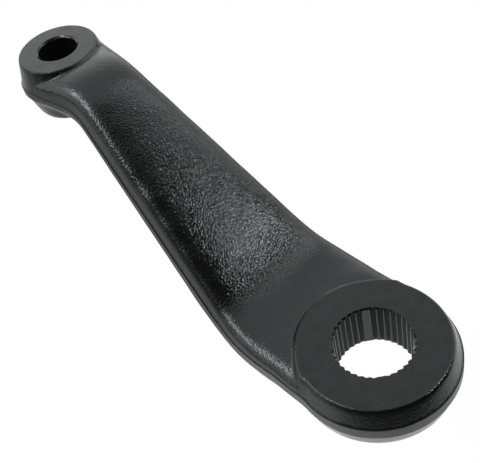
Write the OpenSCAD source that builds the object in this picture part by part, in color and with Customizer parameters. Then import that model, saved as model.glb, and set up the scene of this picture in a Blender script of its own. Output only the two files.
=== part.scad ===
// Pitman arm: one steel forging that turns a steering box's sector shaft into the swing of a drag link.
// The big eye has a serrated bore for the sector shaft, the small eye has a tapered hole for a ball stud,
// and a broad S-bent arm carries the small eye above the big one.
// Frame: millimetres, origin mid way in the serrated bore, +Z along it to the nut, +X to the small eye.

/* [Layout] */
// Distance between the two eyes' axes, seen along them
centre_distance = 191; // [180:1:215]
// Height of the small eye's nut face above the big eye's nut face
rise = 81.5; // [70:0.5:88]
// Start of the lower bend, from the big eye's axis
bend_start = 43; // [39:1:50]
// End of the upper bend, from the small eye's axis
bend_end = 23; // [19:1:28]
// Radius of the lower bend, at the parting surface
lower_bend_r = 47; // [30:1:54]
// Radius of the upper bend, at the parting surface
upper_bend_r = 25.5; // [18:0.5:32]

/* [Arm section] */
// Half width of the arm at the lower bend
shoulder_half_width = 35.2; // [31:0.1:36]
// Half width of the arm at the start of the upper bend
waist_half_width = 19.9; // [18:0.1:21.5]
// Height of the arm's top over the parting surface, at the big eye
arm_top_big = 9.2; // [8.8:0.1:11]
// Height of the arm's top over the parting surface, at the waist
arm_top_waist = 11; // [8.6:0.1:11.4]
// Height of the arm's top over the parting surface, at the small eye
arm_top_neck = 8.9; // [6:0.1:9.6]
// Height of the trimmed flash land that runs round the whole forging
land_height = 6.6; // [4:0.2:8]
// Slope of the drafted side walls
draft = 16; // [10:1:20]
// Run of the arm's rounded edges down the side walls
edge_side = 5; // [3:0.2:6]
// Run of the arm's rounded edges over the top and bottom
edge_top = 12; // [5:0.2:13]
// Crown of the arm's top and bottom
crown = 0.7; // [0:0.1:1.2]

/* [Big eye] */
// Thickness between the two machined faces
big_thickness = 25.2; // [24.4:0.2:30]
// Radius of the machined nut face
big_face_r = 34.4; // [31:0.2:34.6]
// Radius at the flash land
big_land_r = 37.9; // [37:0.1:41]
// Radius of the round between the lower wall and the shaft-side face
big_round = 3.6; // [2:0.2:8]
// Broken edge of the machined nut face
big_edge = 0.9; // [0.4:0.1:1.4]

/* [Serrated bore] */
// Number of serration positions round the bore
serrations = 36; // [36:4:48]
// Number of positions left blind, so the arm fits the shaft in four ways
blind_teeth = 4; // [2:2:4]
// Radius at the tooth crests
crest_r = 17.45; // [16:0.05:17.6]
// Radius at the groove roots
root_r = 18.5; // [18.2:0.05:20]
// Width of a groove at the crests
groove_mouth = 1.9; // [1.4:0.05:2.1]
// Width of a groove at its root
groove_root = 0.7; // [0.3:0.05:1]
// Angle of the first blind tooth from the arm
blind_angle = 50; // [0:1:89]
// Lead-in chamfer on the shaft side
shaft_chamfer = 1.6; // [0.8:0.1:2.2]
// Broken edge on the nut side
nut_chamfer = 0.5; // [0.2:0.1:0.8]

/* [Small eye] */
// Height of the nut face over the parting surface
small_up = 12.6; // [12:0.1:15]
// Depth of the far face under the parting surface
small_down = 16.8; // [15:0.1:20]
// Radius of the machined face
small_face_r = 20.2; // [17.5:0.1:21]
// Radius at the flash land
small_land_r = 23.3; // [22.4:0.1:25]
// Radius of the far face, out to its sharp corner before the round
small_foot_r = 18.5; // [16.5:0.1:19]
// Radius of the round into the far face
small_round = 4; // [2:0.2:5]
// Radius of the fillet that spreads the boss into the arm
boss_fillet = 6; // [4:0.5:10]
// Radius of the stud hole at the nut face
stud_r = 9.95; // [9:0.05:11]
// Taper of the stud hole, change of diameter over length
stud_taper = 0.125; // [0.08:0.005:0.14]
// Broken edges of the stud hole
stud_chamfer = 0.8; // [0.4:0.1:1.2]

/* [Hidden] */
$fn = 96;

big_half = big_thickness/2;
land = land_height/2;
small_face_z = big_half+rise;
parting_rise = small_face_z-small_up;
small_foot_z = parting_rise-small_down;

// The two bends and the straight between them, as one line from level to level
bend_span = centre_distance-bend_end-bend_start;
bend_gap = parting_rise-lower_bend_r-upper_bend_r;
slope = atan2(bend_gap, bend_span)+asin((lower_bend_r+upper_bend_r)/norm([bend_span, bend_gap]));
arc_1 = lower_bend_r*slope*PI/180;
arc_2 = upper_bend_r*slope*PI/180;
straight = (bend_span-(lower_bend_r+upper_bend_r)*sin(slope))/cos(slope);
s_1 = bend_start;
s_2 = s_1+arc_1;
s_3 = s_2+straight;
s_4 = s_3+arc_2;
s_end = s_4+bend_end;

// Point [x, z] and angle of the parting surface at a distance s along it
function on_arc(r, a) = [r*sin(a), r*(1-cos(a))];
function spine(s) =
    s <= s_1 ? [s, 0, 0] :
    s <= s_2 ? let(a = (s-s_1)/lower_bend_r*180/PI, p = on_arc(lower_bend_r, a)) [bend_start+p[0], p[1], a] :
    s <= s_3 ? let(p = on_arc(lower_bend_r, slope), d = s-s_2)
        [bend_start+p[0]+d*cos(slope), p[1]+d*sin(slope), slope] :
    s <= s_4 ? let(a = (s_4-s)/upper_bend_r*180/PI, p = on_arc(upper_bend_r, a))
        [centre_distance-bend_end-p[0], parting_rise-p[1], a] :
    [centre_distance-bend_end+s-s_4, parting_rise, 0];

// Half width of the arm over the plan distance x: eye, shoulder, straight taper, waist, eye
shoulder_x = spine((s_1+s_2)/2)[0];
waist_x = spine(s_3)[0];
taper = (waist_half_width-shoulder_half_width)/(waist_x-shoulder_x);
eye_inset = 2.7;
neck_inset = 0.5;
neck_run = centre_distance-waist_x;
function neck_part(x) = min((x-waist_x)/neck_run, 1);
function hermite(t, h, y0, y1, m0, m1) =
    y0*(2*t^3-3*t^2+1)+h*m0*(t^3-2*t^2+t)+y1*(3*t^2-2*t^3)+h*m1*(t^3-t^2);
function half_width(x) =
    x < shoulder_x ? hermite(x/shoulder_x, shoulder_x, big_land_r-eye_inset, shoulder_half_width, 0, taper) :
    x < waist_x ? shoulder_half_width+taper*(x-shoulder_x) :
    hermite(neck_part(x), neck_run, waist_half_width, small_land_r-neck_inset, taper, 0);

// Height of the arm's top over the parting surface: straight to the waist, then down to the neck
function arm_top(x) =
    x < waist_x ? arm_top_big+(arm_top_waist-arm_top_big)*x/waist_x :
    hermite(neck_part(x), neck_run, arm_top_waist, arm_top_neck, 0, 0);

// Soft maximum of two heights, with a blend of size k
function soft_max(a, b, k) = max(a, b)+pow(max(k-abs(a-b), 0), 2)/(4*k);

// Heights of the small boss's two walls at a distance from its axis, kept just inside the boss itself
boss_slope = (small_land_r-small_face_r)/(small_up-land);
foot_slope = (small_land_r-small_foot_r)/(small_down-land);
boss_inset = 1;
spread_top = small_face_z-2*big_edge;
spread_foot = small_foot_z+small_round;
function boss_wall(d) = small_face_z-(d+boss_inset-small_face_r)/boss_slope;
function foot_wall(d) = small_foot_z+(d+boss_inset-small_foot_r)/foot_slope;

// One rounded quarter of the arm's section: [y, height] from the land to the middle
edge_steps = 6;
flat_steps = 6;
least_wall = 0.5;
function edge_point(a, b, c, t) = a*(1-t)*(1-t)+b*2*t*(1-t)+c*t*t;
function quarter(w, h) =
    let(side = [sin(draft), -cos(draft)]*min(edge_side, (h-land)/cos(draft)-least_wall),
        corner = [w-(h-land)*tan(draft), h],
        flat = corner-[edge_top, 0])
    concat([[w, land]],
        [for (i = [0:edge_steps]) edge_point(corner+side, corner, flat, i/edge_steps)],
        [for (i = [1:flat_steps]) let(t = 1-i/flat_steps) [flat[0]*t, h+crown*(1-t*t)]]);

// A whole section as a ring of points in space, spread into the small eye's boss above and below
function placed(p, q, side) = [q[0]-p[1]*sin(q[2]), side*p[0], q[1]+p[1]*cos(q[2])];
function from_boss(v) = norm([v[0]-centre_distance, v[1]]);
least_blend = 0.1;
function blend(v) = boss_fillet*max(min((centre_distance-v[0])/small_land_r, 1), least_blend);
function raised(v) =
    let(z = soft_max(v[2], boss_wall(from_boss(v)), blend(v)))
    [v[0], v[1], min(z, max(v[2], spread_top))];
function lowered(v) =
    let(z = -soft_max(-v[2], -foot_wall(from_boss(v)), blend(v)))
    [v[0], v[1], max(z, min(v[2], spread_foot))];
function upper(p, q, side) =
    let(v = placed(p, q, side))
    p[1] > land ? raised(v) : v;
function lower(p, q, side) =
    let(v = placed([p[0], -p[1]], q, side))
    p[1] > land ? lowered(v) : v;

// Each section bows round the small eye, so that the lines of the surface run round its boss
quarter_end = edge_steps+flat_steps+1;
function bow(s, y) = let(r = max(s_end-s, small_land_r)) r-sqrt(r*r-y*y);
function section(s) = let(x = spine(s)[0]) quarter(half_width(x), arm_top(x));
function ring(s) =
    let(flat = section(s),
        t = [for (p = flat) s+bow(s, p[0])],
        q = [for (a = t) spine(a)],
        c = [for (i = [0:quarter_end]) section(t[i])[i]])
    concat(
        [for (i = [0:quarter_end]) upper(c[i], q[i], 1)],
        [for (i = [quarter_end-1:-1:0]) upper(c[i], q[i], -1)],
        [for (i = [0:quarter_end]) lower(c[i], q[i], -1)],
        [for (i = [quarter_end-1:-1:0]) lower(c[i], q[i], 1)]);

// Distances of the sections along the arm, closer together where it bends and meets the small eye
level_steps = 8;
lower_steps = 10;
straight_steps = 5;
upper_steps = 14;
neck_steps = 8;
arm_start = 4;
arm_stop = s_end-stud_r;
function spread(a, b, n) = [for (i = [0:n-1]) a+(b-a)*i/n];
stations = concat(spread(arm_start, s_1, level_steps), spread(s_1, s_2, lower_steps),
    spread(s_2, s_3, straight_steps), spread(s_3, s_4, upper_steps),
    spread(s_4, arm_stop, neck_steps), [arm_stop]);

module loft(rings) {
    n = len(rings);
    m = len(rings[0]);
    middles = [for (s = [arm_start, arm_stop]) let(q = spine(s)) [q[0], 0, q[1]]];
    points = concat([for (r = rings) for (p = r) p], middles);
    sides = [for (i = [0:n-2]) for (j = [0:m-1]) let(k = (j+1)%m)
        each [[i*m+j, (i+1)*m+k, i*m+k], [i*m+j, (i+1)*m+j, (i+1)*m+k]]];
    ends = [for (j = [0:m-1]) let(k = (j+1)%m) each [[n*m, j, k], [n*m+1, (n-1)*m+k, (n-1)*m+j]]];
    polyhedron(points, concat(sides, ends));
}

// Round between a wall and a flat face, as profile points from the wall to the face
round_steps = 6;
function corner_round(wall, corner, face, r) =
    let(u = (wall-corner)/norm(wall-corner), v = (face-corner)/norm(face-corner),
        half = acos(u*v)/2, centre = corner+(u+v)/norm(u+v)*r/sin(half),
        a = corner+u*r/tan(half)-centre, b = corner+v*r/tan(half)-centre)
    [for (i = [0:round_steps]) let(d = a*(1-i/round_steps)+b*i/round_steps) centre+d/norm(d)*r];

module big_eye() {
    wall_slope = (big_land_r-big_face_r)/(big_half-land);
    foot = [big_land_r-(big_half-land)*tan(draft), -big_half];
    rotate_extrude() polygon(concat(
        [[0, -big_half], [0, big_half], [big_face_r-big_edge, big_half],
         [big_face_r+big_edge*wall_slope, big_half-big_edge], [big_land_r, land], [big_land_r, -land]],
        corner_round([big_land_r, -land], foot, [0, -big_half], big_round)));
}

module small_eye() {
    corner = [small_foot_r, small_foot_z];
    translate([centre_distance, 0, 0]) rotate_extrude() polygon(concat(
        [[0, small_foot_z], [0, small_face_z], [small_face_r-big_edge, small_face_z],
         [small_face_r+big_edge*boss_slope, small_face_z-big_edge],
         [small_land_r, parting_rise+land], [small_land_r, parting_rise-land]],
        corner_round([small_land_r, parting_rise-land], corner, [0, small_foot_z], small_round)));
}

// Grooves of the serrated bore, with the blind positions skipped
over = 1;
module serrated_bore() {
    length = big_thickness+2*over;
    pitch = 360/serrations;
    cylinder(h = length, r = crest_r, center = true);
    for (i = [0:serrations-1])
        if (i%(serrations/blind_teeth) != 0)
            rotate(blind_angle+i*pitch)
                linear_extrude(length, center = true)
                    polygon([[crest_r-over, -groove_mouth/2], [crest_r, -groove_mouth/2],
                             [root_r, -groove_root/2], [root_r, groove_root/2],
                             [crest_r, groove_mouth/2], [crest_r-over, groove_mouth/2]]);
    translate([0, 0, -big_half-over])
        cylinder(h = shaft_chamfer+over, r1 = root_r+over, r2 = root_r-shaft_chamfer);
    translate([0, 0, big_half-nut_chamfer])
        cylinder(h = nut_chamfer+over, r1 = crest_r, r2 = crest_r+nut_chamfer+over);
}

// Tapered hole for the ball stud, wide at the nut face
module stud_hole() {
    length = small_up+small_down;
    foot_r = stud_r-stud_taper*length/2;
    translate([centre_distance, 0, small_foot_z-over])
        cylinder(h = length+2*over, r1 = foot_r-stud_taper*over/2, r2 = stud_r+stud_taper*over/2);
    translate([centre_distance, 0, small_face_z-stud_chamfer])
        cylinder(h = stud_chamfer+over, r1 = stud_r, r2 = stud_r+stud_chamfer+over);
    translate([centre_distance, 0, small_foot_z-over])
        cylinder(h = stud_chamfer+over, r1 = foot_r+stud_chamfer+over, r2 = foot_r);
}

module pitman_arm() {
    color([0.12, 0.12, 0.13])
    difference() {
        union() {
            loft([for (s = stations) ring(s)]);
            big_eye();
            small_eye();
        }
        serrated_bore();
        stud_hole();
    }
}

pitman_arm();
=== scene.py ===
# %% [markdown]
# A pitman arm is the lever that turns a steering box's output shaft into the push and pull of a drag
# link. It is one steel forging, painted satin black. This lesson rebuilds its looks around an imported CAD
# solid: the forging is laid out flat by rule, bent along its parting line by a Geometry Nodes tree, and
# then painted. The solid is loaded first, and its box sets the height of the floor.

# %% Load the frame
import math
import bpy
import bmesh
import numpy as np
from mathutils import Matrix, Vector, kdtree
from mathutils.geometry import delaunay_2d_cdt


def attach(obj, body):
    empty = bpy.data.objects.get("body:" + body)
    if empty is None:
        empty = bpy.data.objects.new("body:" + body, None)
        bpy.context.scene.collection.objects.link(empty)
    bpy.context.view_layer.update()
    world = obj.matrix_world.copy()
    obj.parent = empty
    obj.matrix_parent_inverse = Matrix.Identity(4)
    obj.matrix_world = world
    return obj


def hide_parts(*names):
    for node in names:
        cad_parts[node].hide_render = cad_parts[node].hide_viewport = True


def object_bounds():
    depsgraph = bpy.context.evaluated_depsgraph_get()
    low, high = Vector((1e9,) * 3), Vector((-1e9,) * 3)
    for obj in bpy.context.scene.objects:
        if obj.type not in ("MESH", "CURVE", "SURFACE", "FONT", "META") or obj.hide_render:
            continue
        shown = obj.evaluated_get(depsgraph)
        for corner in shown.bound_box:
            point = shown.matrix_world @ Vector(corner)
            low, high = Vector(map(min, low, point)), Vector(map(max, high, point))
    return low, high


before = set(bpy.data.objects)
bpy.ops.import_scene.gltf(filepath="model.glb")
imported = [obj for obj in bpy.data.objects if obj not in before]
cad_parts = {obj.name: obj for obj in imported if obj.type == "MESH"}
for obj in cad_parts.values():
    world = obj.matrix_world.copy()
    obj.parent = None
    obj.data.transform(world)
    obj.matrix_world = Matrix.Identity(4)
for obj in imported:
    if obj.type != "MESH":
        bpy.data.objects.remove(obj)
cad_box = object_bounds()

MM = 0.001
FULL_TURN = 2 * math.pi
scene = bpy.context.scene


def placed(name, data):
    """A new object with this data, linked to the scene at the origin."""
    made = bpy.data.objects.new(name, data)
    scene.collection.objects.link(made)
    return made


print("CAD box in metres:", [[round(c, 4) for c in corner] for corner in cad_box])

# %% [markdown]
# The camera comes first, so that every later step can be judged against the photograph.
# Its place and its three axes were solved from the two bores and the outline of the arm.
# A camera looks along its own minus Z, so the forward axis is negated, and so is the down axis.

# %% Camera at the photograph's viewing angle
IMAGE_W = 480
FOCAL_PX = 826.1
SENSOR_MM = 36.0
NEAREST, FARTHEST = 0.01, 20.0
CAMERA_AT = Vector((-144.80, 148.22, 309.40)) * MM
RIGHT = Vector((-0.69243, -0.69829, -0.18149))
DOWN = Vector((-0.43227, 0.60293, -0.67054))
FORWARD = Vector((0.57765, -0.38584, -0.71933))

camera_data = bpy.data.cameras.new("photo_camera")
camera = placed("photo_camera", camera_data)
camera_data.sensor_fit = "HORIZONTAL"
camera_data.sensor_width = SENSOR_MM
camera_data.lens = FOCAL_PX / IMAGE_W * SENSOR_MM
camera_data.clip_start, camera_data.clip_end = NEAREST, FARTHEST
axes = Matrix((RIGHT, -DOWN, -FORWARD)).transposed().to_4x4()
camera.matrix_world = Matrix.Translation(CAMERA_AT) @ axes
scene.camera = camera
print("camera lens in mm:", round(camera_data.lens, 2))

# %% [markdown]
# A forging is made between two dies that part along one surface. Seen from the side, that surface is a
# line: level through the big eye, an upward bend, a straight slope, a bend back and level through the
# small eye. It could be drawn by hand as a curve; here it follows from the eyes' distance, their step and
# the two radii, as in the CAD model, because both models share one frame. Sizes are in millimetres.

# %% Parting line of the two dies
CENTRES, STEP = 191.0, 81.5
BEND_START, BEND_END = 43.0, 23.0
LOWER_R, UPPER_R = 47.0, 25.5

span, rise = CENTRES - BEND_END - BEND_START, STEP - LOWER_R - UPPER_R
SLOPE = math.atan2(rise, span) + math.asin((LOWER_R + UPPER_R) / math.hypot(span, rise))
STRAIGHT = (span - (LOWER_R + UPPER_R) * math.sin(SLOPE)) / math.cos(SLOPE)
# Distances along the line at which the two bends start and end
S1 = BEND_START
S2 = S1 + LOWER_R * SLOPE
S3 = S2 + STRAIGHT
S4 = S3 + UPPER_R * SLOPE
S_END = S4 + BEND_END


def parting_point(s):
    """x and z of the parting line at the distances s along it."""
    s = np.asarray(s, float)
    a1 = np.clip((s - S1) / LOWER_R, 0, SLOPE)
    a2 = np.clip((S4 - s) / UPPER_R, 0, SLOPE)
    run = np.clip(s, S2, S3) - S2
    x = np.minimum(s, S1) + LOWER_R * np.sin(a1) + run * math.cos(SLOPE)
    z = LOWER_R * (1 - np.cos(a1)) + run * math.sin(SLOPE)
    over = s > S3
    x = np.where(over, CENTRES - BEND_END - UPPER_R * np.sin(a2) + np.maximum(s - S4, 0), x)
    z = np.where(over, STEP - UPPER_R * (1 - np.cos(a2)), z)
    return x, z


print("parting line: slope", round(math.degrees(SLOPE), 2), "degrees, length", round(S_END, 1), "mm")

# %% [markdown]
# A hot forging has no sharp change from straight to round, and black paint shows one at once as the end
# of a highlight. So the line is eased: a sliding average spreads each bend's start and end over a few
# centimetres. That moves it by less than half a millimetre. The length along the eased line is kept, to
# place the blank's points on it.

# %% Ease the bends of the line
LEAD_IN, LINE_STEP = 60.0, 0.25
LOWER_EASE, UPPER_EASE = 18.0, 8.0


def sliding_average(values, reach):
    """Average under a bell of the given reach; the ends run on straight."""
    count = round(reach / LINE_STEP)
    bell = np.hanning(2 * count + 3)[1:-1]
    padded = np.pad(values, count, mode="reflect", reflect_type="odd")
    return np.convolve(padded, bell / bell.sum(), mode="valid")


def eased(values, upper_share):
    """The lower bend's easing, which gives way to the upper bend's along the straight."""
    lower, upper = sliding_average(values, LOWER_EASE), sliding_average(values, UPPER_EASE)
    return lower * (1 - upper_share) + upper * upper_share


line_s = np.arange(-LEAD_IN, S_END + LEAD_IN, LINE_STEP)
along_straight = np.clip((line_s - S2) / STRAIGHT, 0, 1)
plain_x, plain_z = parting_point(line_s)
line_x, line_z = eased(plain_x, along_straight), eased(plain_z, along_straight)
line_steps = np.hypot(np.diff(line_x), np.diff(line_z))
line_travel = np.concatenate(([0.0], np.cumsum(line_steps))) - LEAD_IN
moved = np.hypot(line_x - plain_x, line_z - plain_z)
print("eased by at most", round(float(moved.max()), 2), "mm")

# %% [markdown]
# Forged shapes flow into each other. A Bevel modifier or a Boolean with a remesh could round the corners
# where they meet, but not with a fillet that grows and shrinks along the way. Formulas can: a soft
# maximum of two heights is the higher one, rounded where they are close, and the rounding may change
# from point to point.

# %% Soft joins
def soft_max(a, b, k):
    """The larger of a and b, rounded where they are less than k apart."""
    return np.maximum(a, b) + np.maximum(k - np.abs(a - b), 0) ** 2 / (4 * k)


def soft_min(a, b, k):
    return -soft_max(-a, -b, k)


def smooth_step(low, high, v):
    """0 below low, 1 above high, and a smooth S between."""
    t = np.clip((v - low) / (high - low), 0, 1)
    return t * t * (3 - 2 * t)


def mixed(a, b, share):
    return a + (b - a) * share


def hermite(t, h, y0, y1, m0, m1):
    """A curve over a length h from y0 to y1 that leaves with slope m0 and arrives with slope m1."""
    return (y0 * (2 * t**3 - 3 * t**2 + 1) + h * m0 * (t**3 - 2 * t**2 + t)
            + y1 * (3 * t**2 - 2 * t**3) + h * m1 * (t**3 - t**2))


def on_circle(r, angles):
    return np.column_stack((r * np.cos(angles), r * np.sin(angles)))


print("soft maximum of 1 and 1, rounded over 2:", soft_max(1.0, 1.0, 2.0))

# %% [markdown]
# Seen in plan, the arm tapers in a straight line from its shoulder to its waist. On either side of that
# it runs on smoothly: nearly to the full width of the big eye, and wider again into the small eye's boss.

# %% Half width of the arm
BIG_LAND, SMALL_LAND = 37.9, 23.3
SHOULDER, WAIST = 35.2, 19.9
EYE_INSET, NECK_INSET = 2.7, 0.5

SHOULDER_X = float(parting_point((S1 + S2) / 2)[0])
STRAIGHT_X, WAIST_X = float(parting_point(S2)[0]), float(parting_point(S3)[0])
TAPER = (WAIST - SHOULDER) / (WAIST_X - SHOULDER_X)
NECK_RUN = CENTRES - WAIST_X


def half_width(x):
    """Half width of the arm alone at the places x."""
    to_shoulder, along_neck = np.clip(x / SHOULDER_X, 0, 1), np.clip((x - WAIST_X) / NECK_RUN, 0, 1)
    eye = hermite(to_shoulder, SHOULDER_X, BIG_LAND - EYE_INSET, SHOULDER, 0, TAPER)
    neck = hermite(along_neck, NECK_RUN, WAIST, SMALL_LAND - NECK_INSET, TAPER, 0)
    straight = SHOULDER + TAPER * (x - SHOULDER_X)
    return np.where(x < SHOULDER_X, eye, np.where(x < WAIST_X, straight, neck))


print("width at the shoulder and the waist in mm:", 2 * SHOULDER, 2 * WAIST)

# %% [markdown]
# The forging's plan is the union of two round eyes and the arm. Here it is a field: how far a point lies
# inside the edge of each of the three, joined by soft maxima that round the corners between them. The
# edge of the whole forging is where that field is zero.

# %% Plan of the forging
EYE_BLEND, NECK_BLEND = 9.0, 1.5
EYE_BLEND_RUN, NECK_BLEND_RUN = 25.0, 16.0
LEAST_BLEND = 0.01
END_FALL = 2.0
LEAST_HALF, MOST_HALF, HALVINGS = 5.0, 60.0, 40


def plan_field(u, y):
    """Distances inside the edges of the arm, the big eye and the small eye, with the rounding of the
    corners added to each, and then the distance inside the whole."""
    beyond = END_FALL * np.maximum(-u, 0) + END_FALL * np.maximum(u - S_END, 0)
    arm = half_width(parting_point(u)[0]) - np.abs(y) - beyond
    big = BIG_LAND - np.hypot(u, y)
    small = SMALL_LAND - np.hypot(u - S_END, y)
    k_big = EYE_BLEND * smooth_step(0, EYE_BLEND_RUN, u) + LEAST_BLEND
    k_small = NECK_BLEND * smooth_step(0, NECK_BLEND_RUN, S_END - u) + LEAST_BLEND
    joined = soft_max(soft_max(arm, big, k_big), small, k_small)
    bulge = joined - np.maximum(np.maximum(arm, big), small)
    return arm + bulge, big + bulge, small + bulge, joined


def edge_half_width(u):
    """Half width of the whole forging between the eyes' axes, by halving the interval round the edge."""
    low, high = np.full_like(u, LEAST_HALF), np.full_like(u, MOST_HALF)
    for _ in range(HALVINGS):
        mid = (low + high) / 2
        within = plan_field(u, mid)[3] > 0
        low, high = np.where(within, mid, low), np.where(within, high, mid)
    return (low + high) / 2


print("half width midway in mm:", np.round(edge_half_width(np.array([S_END / 2])), 2))

# %% [markdown]
# The edge becomes a ring of evenly spaced points: half a circle round each eye and the field's own edge
# between them. It is drawn finely first and then measured out again in equal steps, so that the band
# along it gets even faces.

# %% Edge of the forging
EDGE_SPACING = 0.9
FINE_BACK, FINE_FRONT, FINE_SIDE = 1500, 1000, 4000

back = np.radians(np.linspace(90, 270, FINE_BACK, endpoint=False))
front = np.radians(np.linspace(-90, 90, FINE_FRONT, endpoint=False))
along = np.linspace(0, S_END, FINE_SIDE, endpoint=False)
right_side = np.column_stack((along, -edge_half_width(along)))
left_side = np.column_stack((S_END - along, edge_half_width(S_END - along)))
fine_edge = np.vstack((on_circle(BIG_LAND, back), right_side,
                       on_circle(SMALL_LAND, front) + (S_END, 0), left_side))
fine_edge = np.vstack((fine_edge, fine_edge[:1]))
travel = np.concatenate(([0], np.cumsum(np.hypot(*np.diff(fine_edge, axis=0).T))))
edge_count = int(travel[-1] / EDGE_SPACING)
stations = np.linspace(0, travel[-1], edge_count, endpoint=False)
edge = np.column_stack([np.interp(stations, travel, fine_edge[:, i]) for i in (0, 1)])
tangent = np.roll(edge, -1, 0) - np.roll(edge, 1, 0)
tangent /= np.linalg.norm(tangent, axis=1)[:, None]
inward = np.column_stack((-tangent[:, 1], tangent[:, 0]))
print("edge of the forging:", edge_count, "points,", round(float(travel[-1]), 1), "mm round")

# %% [markdown]
# The skin of a hot forging is never quite flat. A Displace modifier could move the finished mesh; here a
# few slow waves with fixed random directions, lengths and phases are added to the heights, so that they
# can fade out at the machined faces.

# %% Slow waves of a hot forging
WAVE_HEIGHT, WAVE_COUNT, WAVE_SEED = 0.10, 14, 7
SHORTEST_WAVE, LONGEST_WAVE = 11, 34

draw = np.random.default_rng(WAVE_SEED)
WAVES = []
for _ in range(WAVE_COUNT):
    heading = draw.uniform(0, FULL_TURN)
    radians_per_mm = FULL_TURN / draw.uniform(SHORTEST_WAVE, LONGEST_WAVE)
    WAVES.append((heading, radians_per_mm, draw.uniform(0, FULL_TURN)))


def slow_waves(u, y):
    total = sum(np.sin(k * (u * math.cos(a) + y * math.sin(a)) + phase) for a, k, phase in WAVES)
    return WAVE_HEIGHT * total / math.sqrt(WAVE_COUNT / 2)


print("waves:", WAVE_COUNT, "of about", WAVE_HEIGHT, "mm together")

# %% [markdown]
# The arm's section starts at the land, the band where the dies met. From there its wall leans by the
# draft, which lets a forging leave its die, turns over a long rounded edge and ends in a slightly crowned
# top. The rounded edge is a quadratic Bezier curve over the corner, so wall, edge and top join smoothly.

# %% Section of the arm
LAND_TOP_EYE, LAND_TOP_ARM, LAND_TOP_NECK = 3.0, 1.1, -0.6
LAND_LOW_EYE, LAND_LOW_ARM = 2.5, 3.3
LAND_EYE_END, LAND_ARM_AT, LAND_NECK_RUN = 10, 110, 20
DRAFT = math.radians(9.5)
TOP_BIG, TOP_SHOULDER, TOP_WAIST, TOP_NECK = 9.2, 11.6, 11.0, 8.9
EDGE_SIDE, EDGE_TOP, LEAST_WALL = 5.0, 12.0, 0.5
CROWN_SLOPE_EYE, CROWN_SLOPE = 0.03, 0.085
CROWN_FROM, CROWN_AT = 20, 75


def land_height(u, top):
    """Distance of the land's upper or lower edge from the parting surface."""
    on_arm = smooth_step(LAND_EYE_END, LAND_ARM_AT, u)
    if top:
        at_neck = smooth_step(LAND_ARM_AT, S_END - LAND_NECK_RUN, u)
        return mixed(LAND_TOP_EYE, LAND_TOP_ARM, on_arm) + (LAND_TOP_NECK - LAND_TOP_ARM) * at_neck
    return mixed(LAND_LOW_EYE, LAND_LOW_ARM, on_arm)


def corner_height(x):
    """Height at which the lines of the wall and the top would meet."""
    to_waist = np.interp(x, (0, STRAIGHT_X, WAIST_X), (TOP_BIG, TOP_SHOULDER, TOP_WAIST))
    neck = hermite(np.clip((x - WAIST_X) / NECK_RUN, 0, 1), NECK_RUN, TOP_WAIST, TOP_NECK, 0, 0)
    return np.where(x < WAIST_X, to_waist, neck)


def arm_height(u, inside, land):
    """Height of the arm at the distances inside its edge: wall, rounded edge and crowned top."""
    x = parting_point(u)[0]
    h = corner_height(x)
    side = np.minimum(EDGE_SIDE, (h - land) / math.cos(DRAFT) - LEAST_WALL)
    corner = (h - land) * math.tan(DRAFT)
    start, stop = corner - side * math.sin(DRAFT), corner + EDGE_TOP
    top_slope = mixed(CROWN_SLOPE_EYE, CROWN_SLOPE, smooth_step(CROWN_FROM, CROWN_AT, u))
    start_h, stop_h = h - side * math.cos(DRAFT), h + top_slope * EDGE_TOP
    a, b = start - 2 * corner + stop, 2 * (corner - start)
    root = np.sqrt(np.maximum(b * b - 4 * a * (start - inside), 0))
    t = np.clip((root - b) / (2 * a), 0, 1)
    rounded = start_h * (1 - t) ** 2 + 2 * h * t * (1 - t) + stop_h * t * t
    half = half_width(x)
    from_middle = np.clip((half - inside) / (half - stop), -1, 1)
    crown = top_slope * (half - stop) / 2 * (1 - from_middle ** 2)
    wall = land + inside / math.tan(DRAFT)
    return np.where(inside < start, wall, np.where(inside < stop, rounded, stop_h + crown))


print("corner heights at the big eye, the waist and the small eye:",
      np.round(corner_height(np.array([0, WAIST_X, CENTRES])), 2))

# %% [markdown]
# Each eye is a leaning wall that machining cut off flat. Soft maxima make the fillets where arm and eyes
# meet, a soft minimum rounds the rims of the flat faces, and a small ledge stays where the flash was
# trimmed. The top and the bottom use the same rule with sizes of their own.

# %% Heights of the top and the bottom
BIG_FACE, BIG_HALF = 34.7, 12.6
SMALL_FACE, SMALL_UP, SMALL_FOOT, SMALL_DOWN = 20.2, 12.6, 19.5, 16.8
DRAFT_EYE_FOOT = math.radians(13.5)
RIM_BIG, RIM_SMALL, RIM_BIG_FOOT, RIM_SMALL_FOOT = 3.0, 2.0, 3.5, 4.0
FACE_BLEND = 35.0
BIG_FILLET, BIG_FILLET_RUN, LEAST_BIG_FILLET = 2.2, 20.0, 0.05
SMALL_FILLET, LEAST_SMALL_FILLET = 6.0, 0.1
LEDGE, LEDGE_RISE, LEDGE_BLEND = 0.45, 0.15, 0.25
WAVES_END, WAVES_FULL, LOW_WAVES_AT = 0.2, 2.0, 400


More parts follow.
